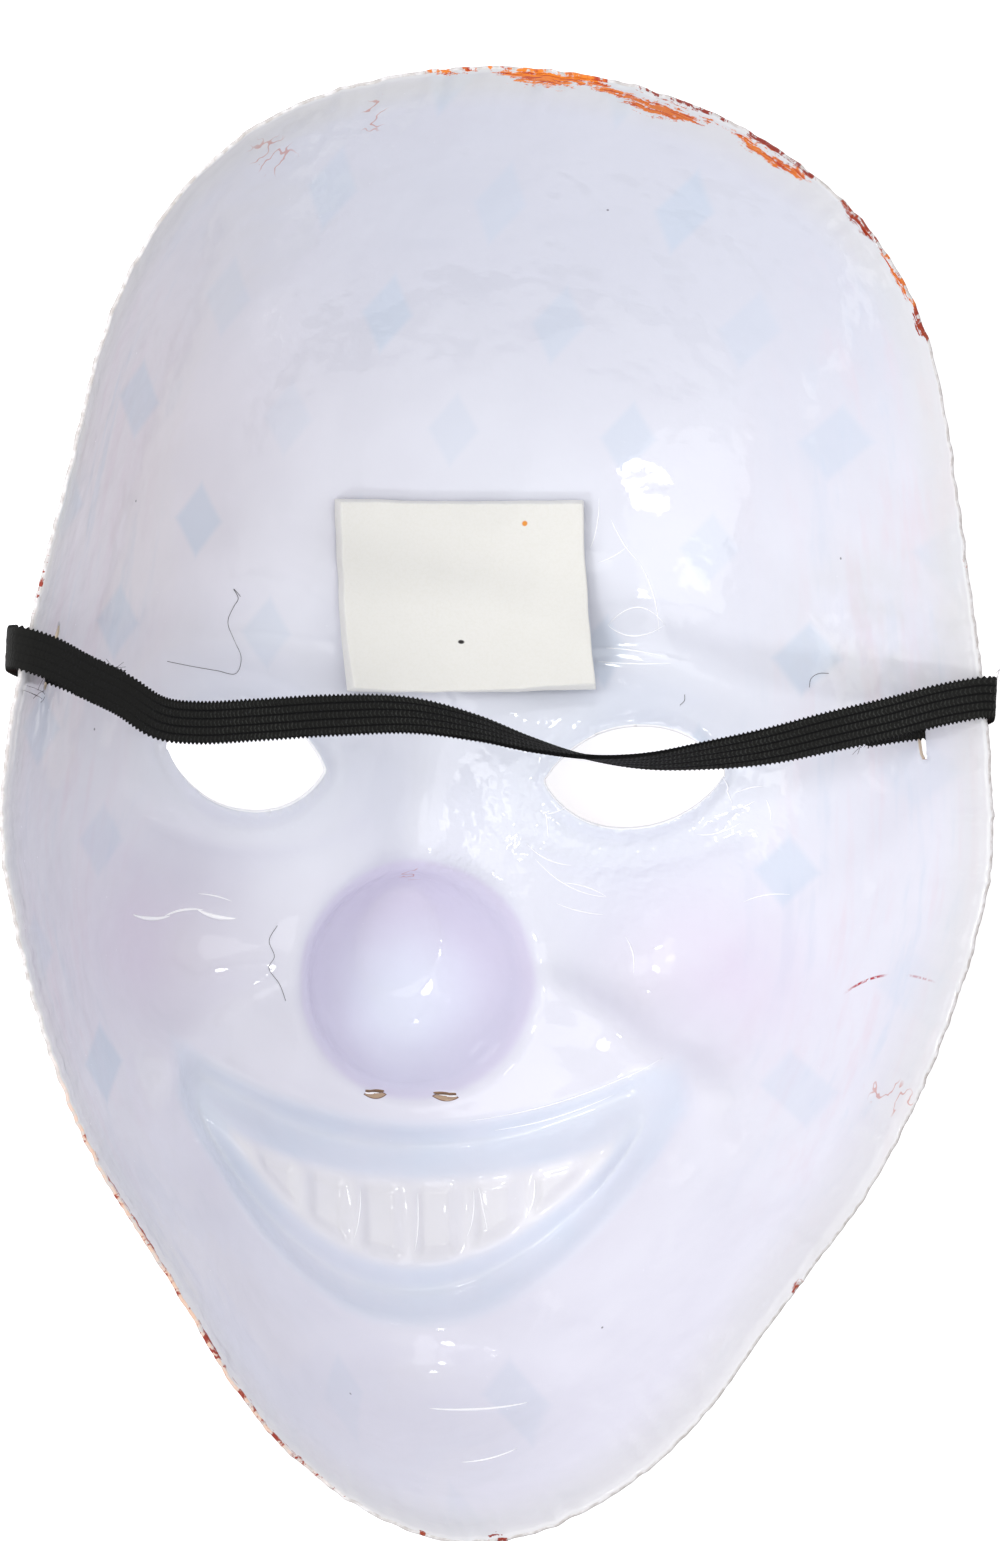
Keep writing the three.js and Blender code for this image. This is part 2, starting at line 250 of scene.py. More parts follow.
# %% From the face's coordinates to the frame
TIP_DEPTH = float(depth_at(np.array(0.0), np.array(float(NOSE_V)), 1.0, 0.0))
DROP = -(-NOSE_V * math.sin(TILT) - TIP_DEPTH * math.cos(TILT)) - NOSE_FLAT_SINK


def tilted(u, v, w):
    """Face coordinates turned as the mask lies."""
    return u, v * math.cos(TILT) + w * math.sin(TILT), w * math.cos(TILT) - v * math.sin(TILT)


def lay_down(points, floor=0.0):
    """Face coordinates in millimetres, one point a row, to places in the frame in metres."""
    x, y, z = tilted(*np.asarray(points, float).T)
    return np.stack([x, y + LENGTH_SHIFT, np.maximum(z + DROP, floor)], axis=1) * MM


def face_points(u, v, offset=0.0, with_brows=1.0, with_fine=1.0):
    """Points of the sheet's front, moved by offset along its normal towards the front."""
    step = 0.4
    args = (with_brows, with_fine)
    du = (depth_at(u + step, v, *args) - depth_at(u - step, v, *args)) / (2 * step)
    dv = (depth_at(u, v + step, *args) - depth_at(u, v - step, *args)) / (2 * step)
    length = np.sqrt(du * du + dv * dv + 1)
    shift = offset / length
    return np.stack([u - du * shift, v - dv * shift, -depth_at(u, v, *args) - shift], axis=1)


print("nose tip", round(TIP_DEPTH, 2), "mm deep; the rim's plane passes", round(DROP, 2), "mm over the floor")

# %% [markdown]
# ## The camera
# The photograph looks square down into the hollow, with the forehead up, from about a metre away: the rim's
# outline hardly narrows, and only what lies deep in the hollow is shifted to the left. That shift gives the
# camera's small turn to the left, and the leaning middle line gives its roll. The camera is made first, and
# then the band, because the band is a free length that is measured in the camera's view.

# %% Camera over the rim's plane
CAMERA = {"distance": 1.0, "view_height": 0.2607, "yaw": -12.5, "roll": 2.8, "aim_u": -1.5, "aim_v": 6.0}


def placed(name, data):
    """An object that holds data, linked into the scene."""
    made = bpy.data.objects.new(name, data)
    bpy.context.collection.objects.link(made)
    return made


def photo_camera():
    yaw, roll = math.radians(CAMERA["yaw"]), math.radians(CAMERA["roll"])
    back = Vector(tilted(math.sin(yaw), 0, math.cos(yaw))).normalized()
    up = Vector(tilted(0, 1, 0)).normalized()
    right = up.cross(back).normalized()
    up, right = (
        up * math.cos(roll) - right * math.sin(roll),
        right * math.cos(roll) + up * math.sin(roll),
    )
    aim = Vector(lay_down([[CAMERA["aim_u"], CAMERA["aim_v"], 0]])[0])
    data = bpy.data.cameras.new("camera")
    data.sensor_width = 36
    data.lens = data.sensor_width * CAMERA["distance"] / CAMERA["view_height"]
    data.clip_start, data.clip_end = 0.05, 20
    camera = placed("camera", data)
    turn = Matrix((right, up, back)).transposed().to_4x4()
    camera.matrix_world = Matrix.Translation(aim + back * CAMERA["distance"]) @ turn
    return camera


camera = photo_camera()
bpy.context.scene.camera = camera
print("camera", tuple(round(x, 3) for x in camera.location), "lens", round(camera.data.lens, 1))

# %% [markdown]
# ## Writing materials
# A material is a small program: coordinates go in, a pattern comes out. Writing it as sums keeps it readable,
# so one class wraps a socket and turns +, -, * and / into Math nodes. All other nodes come from one method
# that takes the node's settings first and then its sockets. A pattern feeds only the colour, the roughness
# and the bump, because those are what the exported model can carry.


# %% Shader sums in plain Python
class Field:
    """A value that varies over a surface."""

    def __init__(self, tree, socket):
        self.tree = tree
        self.socket = socket

    def math(self, operation, *values):
        node = self.tree.nodes.new("ShaderNodeMath")
        node.operation = operation
        for place, value in zip(node.inputs, values):
            if isinstance(value, Field):
                self.tree.links.new(value.socket, place)
            else:
                place.default_value = value
        return Field(self.tree, node.outputs[0])

    def __add__(self, other):
        return self.math("ADD", self, other)

    def __radd__(self, other):
        return self.math("ADD", other, self)

    def __sub__(self, other):
        return self.math("SUBTRACT", self, other)

    def __rsub__(self, other):
        return self.math("SUBTRACT", other, self)

    def __mul__(self, other):
        return self.math("MULTIPLY", self, other)

    def __rmul__(self, other):
        return self.math("MULTIPLY", other, self)

    def __truediv__(self, other):
        return self.math("DIVIDE", self, other)

    def __neg__(self):
        return self.math("MULTIPLY", self, -1.0)

    def __abs__(self):
        return self.math("ABSOLUTE", self)

    def __pow__(self, other):
        return self.math("POWER", self, other)

    def under(self, other):
        return self.math("MINIMUM", self, other)

    def wave(self):
        return self.math("SINE", self)

    def floor(self):
        return self.math("FLOOR", self)

    def repeat(self, period):
        return self.math("FLOORED_MODULO", self, period)

    def step(self, low, high):
        """0 up to low, 1 from high on, and smooth between them; falls where low is over high."""
        node = self.tree.nodes.new("ShaderNodeMapRange")
        node.interpolation_type = "SMOOTHSTEP"
        self.tree.links.new(self.socket, node.inputs["Value"])
        ends = (1.0, 0.0) if low > high else (0.0, 1.0)
        places = ("From Min", "From Max", "To Min", "To Max")
        for name, value in zip(places, (min(low, high), max(low, high), *ends)):
            node.inputs[name].default_value = value
        return Field(self.tree, node.outputs["Result"])

    def hill(self, width):
        scaled = self / width
        return self.math("EXPONENT", -(scaled * scaled))


# %% A finish is one material, and the nodes that are added to it
class Finish:
    """A Principled shader whose sockets take numbers, colours and fields."""

    def __init__(self, name, **constants):
        self.material = bpy.data.materials.new(name)
        self.material.use_nodes = True
        self.tree = self.material.node_tree
        self.shader = self.tree.nodes["Principled BSDF"]
        self.give(**constants)

    def give(self, **values):
        for socket, value in values.items():
            self.join(self.shader.inputs[socket.replace("_", " ")], value)

    def node(self, kind, settings=None, sockets=None):
        made = self.tree.nodes.new("ShaderNode" + kind)
        for key, value in (settings or {}).items():
            setattr(made, key, value)
        for key, value in (sockets or {}).items():
            self.join(made.inputs[key], value)
        return made

    def join(self, place, value):
        if isinstance(value, Field):
            self.tree.links.new(value.socket, place)
        elif isinstance(value, bpy.types.NodeSocket):
            self.tree.links.new(value, place)
        else:
            place.default_value = value

    def field(self, node, output):
        return Field(self.tree, node.outputs[output])

    def attribute(self, name):
        return self.field(self.node("Attribute", {"attribute_name": name}), "Fac")

    def place(self):
        """Object coordinates, in metres."""
        return self.node("TexCoord").outputs["Object"]

    def face_place(self):
        """u, v and w of the face, in millimetres, from Object coordinates."""
        parts = self.node("SeparateXYZ", sockets={"Vector": self.place()})
        x, y, z = (self.field(parts, axis) * (1 / MM) for axis in "XYZ")
        y, z = y - LENGTH_SHIFT, z - DROP
        v = y * math.cos(TILT) - z * math.sin(TILT)
        w = y * math.sin(TILT) + z * math.cos(TILT)
        return x, v, w

    def vector(self, x, y, z=0.0):
        return self.node("CombineXYZ", sockets={0: x, 1: y, 2: z}).outputs[0]

    def noise(self, scale, detail=2.0, roughness=0.5, vector=None):
        """Even noise from 0 to 1, with scale in features a metre."""
        sockets = {"Vector": vector or self.place(), "Scale": scale, "Detail": detail, "Roughness": roughness}
        return self.field(self.node("TexNoise", sockets=sockets), "Fac")

    def cells(self, scale):
        """A node of random cells, with scale in cells a metre."""
        return self.node("TexVoronoi", {"feature": "F1"}, {"Vector": self.place(), "Scale": scale})

    def mix(self, under, over, share):
        """A colour that goes from under to over by share. Each is a socket, or red, green and blue."""
        under, over = (rgb(*colour) if isinstance(colour, tuple) else colour for colour in (under, over))
        return self.node("Mix", {"data_type": "RGBA"}, {0: share, 6: under, 7: over}).outputs[2]

    def coats(self, colour, *coats):
        """Lays coats of paint over a colour. Each coat is a colour with its share."""
        for paint, share in coats:
            colour = self.mix(colour, paint, share)
        return colour

    def bump(self, height, distance, strength=1.0):
        sockets = {"Height": height, "Distance": distance, "Strength": strength}
        made = self.node("Bump", sockets=sockets)
        self.tree.links.new(made.outputs["Normal"], self.shader.inputs["Normal"])


# %% Colours as they look on a screen
def rgb(red, green, blue):
    """A colour from 0 to 255, turned to the linear values that nodes use."""
    linear = []
    for part in (red, green, blue):
        part = part / 255
        linear.append(part / 12.92 if part <= 0.04045 else ((part + 0.055) / 1.055) ** 2.4)
    return (*linear, 1.0)


# %% Turning a bmesh into a piece
def closed(bm):
    """Closes the open ends of tubes and turns every face outwards."""
    bmesh.ops.holes_fill(bm, edges=[edge for edge in bm.edges if edge.is_boundary], sides=0)
    bmesh.ops.recalc_face_normals(bm, faces=bm.faces)
    return bm


def mesh_object(name, bm, finishes):
    """A smooth mesh object at the origin."""
    mesh = bpy.data.meshes.new(name)
    bm.to_mesh(mesh)
    bm.free()
    mesh.polygons.foreach_set("use_smooth", [True] * len(mesh.polygons))
    for finish in finishes:
        mesh.materials.append(finish.material)
    return placed(name, mesh)


def finished_piece(name, bm, finishes, node=None):
    """A mesh object that rides on the part's one body, in place of the solid that node names."""
    piece = mesh_object(name, bm, finishes)
    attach(piece, "root")
    if node:
        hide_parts(node)
    print(name, "has", len(piece.data.vertices), "vertices and", len(piece.data.polygons), "faces")
    return piece


# %% [markdown]
# ## The elastic band
# The band is a flat braid 7 mm wide and 1 mm thick. It is threaded out through the slot at each temple, over
# the rim and across the hollow, and its cut ends lie inside under it. A plain strip would miss two things
# that the eye picks up at once: the braid's edge is a row of tiny loops, and its face is ribbed along its
# length. So the band is a long grid, rolled into a tube with a flat ribbed section, and swept along the same
# route as the solid's. Its edge goes out and in every three rings, which makes a loop each 0.8 mm.

# %% Route of the band, as in the part's source
BAND = {"width": 7, "thick": 1, "turn_from": -45, "turn_to": 85, "rings": 960, "around": 40}
RIBS = 5
RINGS_A_LOOP = 3
STITCH = 0.78
BAND_ROUTE = [
    (67.3, 16.6, -18.4), (70.5, 17.3, -17.9), (73.9, 18, -17.3), (77.3, 18.6, -16.9),
    (80.5, 19.2, -15.9), (83.1, 20, -12.6), (84.7, 21, -8), (85.15, 21.8, -3.6), (85.1, 22.3, -0.8),
    (84.3, 22.6, 1.3), (82.6, 22.6, 2), (80, 22.1, 1.3), (75.8, 20.9, -2), (69, 18.4, -7.6),
    (60, 15.5, -14.2), (50, 12.4, -19.6), (40, 10.3, -23.4), (30, 8.9, -25.6), (20, 9.1, -26.8),
    (10, 10.8, -27.2), (0, 13.2, -27), (-12, 14.8, -26), (-26, 14.1, -23.8), (-40, 12.6, -20.4),
    (-51, 11.6, -16.4), (-58, 12.1, -13.2), (-65, 15.6, -9.4), (-72, 18.2, -4.4), (-77.8, 20.6, 0),
    (-81, 21.6, 1.6), (-83, 22.1, 2.1), (-84.7, 22.5, 1.4), (-85.4, 22.5, -0.7), (-85.3, 22.4, -5.4),
    (-84, 22, -11), (-81.2, 21.3, -15.5), (-77.6, 20.8, -16.9), (-74, 19.8, -17.3), (-69.5, 18.2, -17.9),
    (-64.6, 16.4, -18.6),
]


def span_of_route(before, start, end, after, share):
    """Points of the curve between start and end, whose tangents allow for uneven spacing."""
    gaps = [math.sqrt(np.linalg.norm(b - a)) for a, b in ((before, start), (start, end), (end, after))]
    leave = (start - before) / gaps[0] - (end - before) / (gaps[0] + gaps[1]) + (end - start) / gaps[1]
    arrive = (end - start) / gaps[1] - (after - start) / (gaps[1] + gaps[2]) + (after - end) / gaps[2]
    leave, arrive = leave * gaps[1], arrive * gaps[1]
    t = share[:, None]
    square = 3 * (end - start) - 2 * leave - arrive
    cube = 2 * (start - end) + leave + arrive
    return start + leave * t + square * t**2 + cube * t**3


def even_route(stops, rings):
    """The route as evenly spaced centres, with its length."""
    stops = np.array(stops, float)
    padded = np.vstack([2 * stops[0] - stops[1], stops, 2 * stops[-1] - stops[-2]])
    share = np.linspace(0, 1, 40, endpoint=False)
    spans = [span_of_route(*padded[i : i + 4], share) for i in range(len(stops) - 1)]
    fine = np.vstack([*spans, stops[-1:]])
    run = np.concatenate([[0], np.cumsum(np.linalg.norm(np.diff(fine, axis=0), axis=1))])
    even = np.linspace(0, run[-1], rings)
    return np.stack([np.interp(even, run, fine[:, k]) for k in range(3)], axis=1), run[-1]


band_centres, band_length = even_route(BAND_ROUTE, BAND["rings"] + 1)
print("band is", round(band_length, 1), "mm long with its tucked ends")


# %% Sweep the braided section along the route
def band_frames(centres):
    """Across and flat directions at each centre. The band turns over once, between the eyes."""
    ahead = np.gradient(centres, axis=0)
    ahead /= np.linalg.norm(ahead, axis=1)[:, None]
    across = np.array([0.0, 1.0, 0.0]) - ahead * ahead[:, 1:2]
    across /= np.linalg.norm(across, axis=1)[:, None]
    turn = math.pi * smooth(centres[:, 0], BAND["turn_from"], BAND["turn_to"])[:, None]
    across = across * np.cos(turn) + np.cross(ahead, across) * np.sin(turn)
    return across, np.cross(ahead, across)


def squarer(x, power):
    return np.sign(x) * np.abs(x) ** power


def braid_section(phase):
    """Across and up at a place round the section: nearly flat faces with five ribs, and rounded edges."""
    x, rise = squarer(np.cos(phase), 0.62), squarer(np.sin(phase), 0.34)
    ribs = 1 - 0.12 * np.abs(np.sin(x * RIBS / 2 * math.pi)) ** 4
    return x * BAND["width"] / 2, rise * ribs * BAND["thick"] / 2


def elastic_band():
    bm = bmesh.new()
    bmesh.ops.create_grid(bm, x_segments=BAND["around"], y_segments=BAND["rings"], size=0.5)
    along_name = bm.verts.layers.float.new("along")
    across_name = bm.verts.layers.float.new("across")
    bm.verts.ensure_lookup_table()
    flat = np.array([vert.co for vert in bm.verts])
    ring = np.rint((flat[:, 1] + 0.5) * BAND["rings"]).astype(int)
    step = np.rint((flat[:, 0] + 0.5) * BAND["around"]).astype(int) % BAND["around"]
    x, rise = braid_section((step + 0.5) / BAND["around"] * 2 * math.pi)
    across, up = band_frames(band_centres)
    loops = 1 + 0.07 * np.cos(ring * 2 * math.pi / RINGS_A_LOOP) * smooth(np.abs(x), 2.7, 3.4)
    fray = np.where(ring == 0, -1, np.where(ring == BAND["rings"], 1, 0))
    fray = fray * np.array([noise.noise(Vector((k * 0.9, 3.1, 0))) for k in step]) * 0.9
    ahead = np.cross(across, up)
    places = band_centres[ring] + across[ring] * (x * loops)[:, None] + up[ring] * rise[:, None]
    places = lay_down(places + ahead[ring] * fray[:, None])
    for vert, place, r, a in zip(bm.verts, places, ring, x):
        vert.co = place
        vert[along_name] = r / BAND["rings"] * band_length
        vert[across_name] = a
    bmesh.ops.remove_doubles(bm, verts=bm.verts, dist=1e-6)
    return closed(bm)


# %% Black braid: five ribs of small stitches, with painted shade in the grooves between them and painted grey glints on the stitch tips, in patches
def black_braid():
    """The band shows its other, plainer face where it has turned over at the left."""
    braid = Finish("black_braid", Specular_IOR_Level=0.18)
    along, across = braid.attribute("along"), braid.attribute("across")
    rib = BAND["width"] / RIBS
    plain = along.step(184, 194)
    column = abs((across + BAND["width"] / 2).repeat(rib) / rib - 0.5) * 2
    groove_and_its_shade = column.step(0.62, 0.95) * (1 - plain * 0.8)
    stitch = (((along / STITCH + column * 0.4) * (2 * math.pi)).wave() * 0.5 + 0.5) * (1 - plain * 0.5)
    grain = braid.noise(2400, detail=3)
    glint_patches = braid.noise(70, detail=3).step(0.4, 0.65)
    glinting_tips = (stitch * grain).step(0.3, 0.55) * (1 - groove_and_its_shade)
    # Painted shade: the colour is darker in the grooves between the ribs.
    colour = braid.mix((24, 24, 23), (6, 6, 7), groove_and_its_shade)
    # Painted glints: the raised stitch tips are lighter grey, more so in some patches.
    colour = braid.mix(colour, (58, 60, 57), glinting_tips * (glint_patches * 0.35 + 0.25))
    braid.give(Base_Color=colour, Roughness=0.9 - glinting_tips * 0.2)
    braid.bump(stitch * 0.6 + grain * 0.5 - groove_and_its_shade * 1.3, 0.0002, 0.9)
    return braid


band = finished_piece("elastic_band_braid", elastic_band(), [black_braid()], "elastic_band")
band_path = lay_down(band_centres)

# %% [markdown]
# ## The formed sheet
# The shell is one sheet with even walls, so it is made as one surface and given its thickness at the end. The
# surface starts as a flat square grid. Its cells are moved onto the outline, with rings round the ball of the
# nose, because a ball in the middle of a square grid would come out with steps. While all is still flat, the
# eye holes, nostrils and slots are cut: each edge that crosses a hole's outline gets a new corner there, the
# corners are joined, and the faces inside are deleted. Then every corner is moved down onto the face's form.

# %% Spread a square grid over the outline
SHEET = {"cells": 202, "nose_share": 0.2, "rim_cells": 5, "rim_width": 3}


def spread_over_outline(square):
    """u and v for places in a square from -1 to 1."""
    a, b = square[:, 0], square[:, 1]
    x, y = a * np.sqrt(1 - b * b / 2), b * np.sqrt(1 - a * a / 2)
    share, turn = np.hypot(x, y), np.arctan2(y, x)
    turn = turn + 0.12 * np.sin(2 * turn)
    rim = to_outline(turn, 0)
    angle = np.arctan2(rim * np.sin(turn) - NOSE_V, rim * np.cos(turn))
    to_edge = np.interp(angle, ANGLES, TO_EDGE)
    to_rim = to_edge - SHEET["rim_width"]
    rim_from = 1 - 2 * SHEET["rim_cells"] / SHEET["cells"]
    on_nose = NOSE_RADIUS * np.sin(np.clip(share / SHEET["nose_share"], 0, 1) * math.pi / 2)
    t = np.clip((share - SHEET["nose_share"]) / (rim_from - SHEET["nose_share"]), 0, 1)
    even = (t + np.sin(t * math.pi / 2)) / 2
    on_face = NOSE_RADIUS + (to_rim - NOSE_RADIUS) * even
    on_rim = to_rim + SHEET["rim_width"] * np.clip((share - rim_from) / (1 - rim_from), 0, 1)
    r = np.where(share < SHEET["nose_share"], on_nose, np.where(share < rim_from, on_face, on_rim))
    return r * np.cos(angle), NOSE_V + r * np.sin(angle)


def ragged_edge(u, v, from_rim):
    """How far the edge wanders out, in parts of its distance: it was trimmed by hand, with small snips."""
    angle = np.arctan2(v, u)
    wander = [
        0.16 * noise.noise(Vector((14 * math.cos(t), 14 * math.sin(t), 0)))
        + 0.36 * noise.noise(Vector((52 * math.cos(t), 52 * math.sin(t), 5)))
        for t in angle
    ]
    return np.array(wander) * smooth(8 - from_rim, 0, 8) / np.hypot(u, v).clip(40)


# %% Cut holes in the flat sheet
def eye_hole(u, v):
    return eye_measure(u, v) - 1


def nostril_hole(u, v):
    x, y = np.abs(u) - NOSTRIL["u"], v - NOSTRIL["v"]
    return (x / NOSTRIL["half_width"]) ** 2 + np.abs(y / NOSTRIL["half_height"]) * 2.2 - 1


def slot_hole(u, v):
    middle = np.where(u > 0, SLOT["right"], SLOT["left"])
    deep = depth_at(u, v) - SLOT["depth"]
    shape = ((v - middle) / SLOT["half_length"]) ** 4 + (deep / SLOT["half_depth"]) ** 4 - 1
    return np.where(np.abs(u) > 60, shape, 1.0)


def cut_hole(bm, measure):
    """Cuts away the part of the flat sheet where measure(u, v) is under 0."""
    bm.verts.index_update()
    flat = np.array([vert.co for vert in bm.verts])
    value = measure(flat[:, 0], flat[:, 1])
    crossed = [e for e in bm.edges if (value[e.verts[0].index] < 0) != (value[e.verts[1].index] < 0)]
    starts = np.array([flat[e.verts[0].index] for e in crossed])
    ends = np.array([flat[e.verts[1].index] for e in crossed])
    starts_inside = value[[e.verts[0].index for e in crossed]] < 0
    near, far = np.zeros(len(crossed)), np.ones(len(crossed))
    for _ in range(HALVINGS // 2):
        share = (near + far) / 2
        place = starts + (ends - starts) * share[:, None]
        same = (measure(place[:, 0], place[:, 1]) < 0) == starts_inside
        near, far = np.where(same, share, near), np.where(same, far, share)
    corners = []
    for edge, at in zip(crossed, np.clip((near + far) / 2, 0.05, 0.95)):
        corners.append(bmesh.utils.edge_split(edge, edge.verts[0], float(at))[1])
    bmesh.ops.connect_verts(bm, verts=corners)
    middles = np.array([face.calc_center_median() for face in bm.faces])
    inside = measure(middles[:, 0], middles[:, 1]) < 0
    gone = [face for face, out in zip(bm.faces, inside) if out]
    bmesh.ops.delete(bm, geom=gone, context="FACES")
    return len(gone)


# %% What is left of the orange paint that was brushed over the trimmed rim
# Each streak: its two ends in u and v, how far off the edge, how wide, how much is left, and how red.
RIM_PAINT = [
    ((-19, 122), (-12, 122), 0.0, 0.7, 0.75, 0.25),
    ((-7, 122), (9, 121), 0.2, 1.5, 1.15, 0.1),
    ((7, 121.3), (20, 119), 0.7, 0.9, 0.8, 0.2),
    ((13, 120), (28, 117), 1.2, 1.4, 1.1, 0.3),
    ((17, 119), (31, 116.5), 0.0, 0.45, 0.8, 0.9),
    ((34, 115.5), (47, 110.5), 0.7, 1.2, 0.9, 0.25),
    ((37, 114.5), (47.5, 110), 0.0, 0.4, 0.8, 0.9),
    ((54, 106), (61, 99.5), 0.0, 0.8, 1.0, 0.7),
    ((60, 100), (68, 89), 0.0, 0.6, 0.75, 0.3),
    ((68, 88.5), (70, 84.5), 0.0, 0.7, 1.0, 0.7),
    ((-82, 39), (-82, 29), 0.0, 0.5, 0.6, 0.8),
    ((-71, -57), (-52, -84), 0.0, 0.4, 0.35, 0.7),
    ((-55, -80), (-22, -118), 0.0, 0.45, 0.55, 0.8),
    ((-8, -123), (-7.4, -123), 0.0, 0.5, 0.8, 0.7),
    ((3.8, -123), (5, -123), 0.0, 0.8, 0.9, 0.9),
    ((54.7, -79.8), (55.3, -78.8), 0.0, 0.5, 0.6, 0.7),
    ((79, 46), (79, 45.2), 0.0, 0.5, 0.6, 0.6),
]


def rim_paint(around, from_rim):
    """How much paint is left at each corner, over 0 where some is, and how red it is."""
    left, red = np.full_like(around, -1), np.zeros_like(around)
    for *ends, off, wide, amount, redness in RIM_PAINT:
        start, end = (math.atan2(v, u) for u, v in ends)
        middle, half = (start + end) / 2, abs(start - end) / 2 + 0.01
        taper = 1 - ((around - middle) / half) ** 2
        depth = (from_rim - off) / wide
        body = np.minimum(np.minimum(depth + 0.25, taper - depth), 0.55) + (amount - 1) * 0.5
        red = np.where(body > left, redness, red)
        left = np.maximum(left, body)
    return left.clip(-1, 1), red


# %% Form the sheet
FINE_CELLS = {"mouth": ((-34, -86), (34, -60)), "nostrils": ((-11, -56), (11, -51))}
HOLES = {"eyes": eye_hole, "nostrils": nostril_hole, "slots": slot_hole}


def refine(bm, lowest, highest):
    """Quarters the flat sheet's cells in a box of u and v, where small forms need more corners."""
    edges = {}
    for face in bm.faces:
        middle = face.calc_center_median()
        if lowest[0] < middle.x < highest[0] and lowest[1] < middle.y < highest[1]:
            edges.update(dict.fromkeys(face.edges))
    bmesh.ops.subdivide_edges(bm, edges=list(edges), cuts=1, use_grid_fill=True)


def formed_sheet():
    bm = bmesh.new()
    cells = SHEET["cells"]
    bmesh.ops.create_grid(bm, x_segments=cells, y_segments=cells, size=1.0)
    square = np.array([vert.co for vert in bm.verts])
    u, v = spread_over_outline(square)
    for vert, x, y in zip(bm.verts, u, v):
        vert.co = (x, y, 0)
    for lowest, highest in FINE_CELLS.values():
        refine(bm, lowest, highest)
    for name, measure in HOLES.items():
        print(name, "took", cut_hole(bm, measure), "faces out of the sheet")
    flat = np.array([vert.co for vert in bm.verts])
    u, v = flat[:, 0], flat[:, 1]
    angle = np.arctan2(v - NOSE_V, u)
    from_rim = np.interp(angle, ANGLES, TO_EDGE) - np.hypot(u, v - NOSE_V)
    around = np.arctan2(v, u)
    left, red = rim_paint(around, from_rim)
    corner_values = {"from_rim": from_rim, "around": around, "paint_left": left, "paint_red": red}
    places = face_points(u, v)
    places[:, :2] *= 1 + ragged_edge(u, v, from_rim)[:, None]
    places = lay_down(places)
    for vert, place in zip(bm.verts, places):
        vert.co = place
    for name, values in corner_values.items():
        layer = bm.verts.layers.float.new(name)
        for vert, value in zip(bm.verts, values):
            vert[layer] = value
    bmesh.ops.reverse_faces(bm, faces=bm.faces)
    return bm


# %% [markdown]
# ## The plastic's finish
# The sheet is milky white with a lilac cast, and glossy where the smooth side of the sheet faces the viewer.
# The front was painted, and the paint shows through the thin sheet as soft tints: violet on the nose, pink on
# the cheeks, pale blue round the eyes and lips and in a regular pattern of lozenges. The teeth look whiter.
# Orange paint was brushed over the trimmed rim and has chipped there. A material that is built the same way
# is easy to read: one colour, and then coat after coat, each with its share over the surface.

# %% Where the paints lie
LOZENGE = {"wide": 31.0, "tall": 38.0, "half_wide": 4.6, "half_tall": 6.4}
PLAIN_MIDDLE = {"v": -45, "half_wide": 50, "half_tall": 62}
FAR_CELLS = 200
LIP_HALF = 5.2


def soft_lozenges(finish, u, v, blur):
    """A staggered lattice of lozenges, kept off the middle of the face. Some are painted more thickly.

    Rows and columns are counted from far outside the face, so that no count is under 0.
    """
    wide, tall = LOZENGE["wide"], LOZENGE["tall"] / 2
    along = v + FAR_CELLS * tall
    row = (along / tall).floor()
    shift = row.repeat(2.0) * (wide / 2)
    across = u + FAR_CELLS * wide + shift
    column = (across / wide).floor()
    cell = finish.vector(column, row)
    thick = finish.field(finish.node("TexWhiteNoise", sockets={"Vector": cell}), "Value")
    across = abs(across.repeat(wide) - wide / 2) / LOZENGE["half_wide"]
    along = abs(along.repeat(tall) - tall / 2) / LOZENGE["half_tall"]
    middle_u = ((column - (FAR_CELLS - 0.5)) * wide - shift) / PLAIN_MIDDLE["half_wide"]
    middle_v = ((row - (FAR_CELLS - 0.5)) * tall - PLAIN_MIDDLE["v"]) / PLAIN_MIDDLE["half_tall"]
    outside = (middle_u**2.0 + middle_v**2.0).step(0.98, 1.02)
    return (across + along).step(1 + blur, 1 - blur) * outside * (thick * 0.7 + 0.3)


def painted_places(finish, blur):
    """Shares from 0 to 1 of each paint over the face. A larger blur is paint seen through the sheet."""
    u, v, w = finish.face_place()
    a = abs(u)
    from_nose = (u * u + (v - NOSE_V) * (v - NOSE_V)) ** 0.5
    top = v - (u * u) * SMILE["top_bend"] - SMILE["top"]
    low = v - (u * u) * SMILE["low_bend"] - SMILE["low"]
    lip = (LIP_HALF + blur, LIP_HALF - blur)
    lips = (abs(top - 0.5).step(*lip) + abs(low + 0.5).step(*lip)) * a.step(48, 42)
    return {
        "nose": from_nose.step(NOSE_RADIUS + 1 + blur / 2, NOSE_RADIUS + 0.2),
        "cheek": (a - 53).hill(14) * (v + 28).hill(14),
        "socket": (a - EYE["u"]).hill(20) * (v - EYE["v"] - 2).hill(14),
        "lips": lips.under(1.0),
        "teeth": top.step(0, -3) * low.step(0, 3) * a.step(40, 34),
        "lozenges": soft_lozenges(finish, u, v, 0.12 * blur),
        "u": u,
        "v": v,
        "w": w,
    }


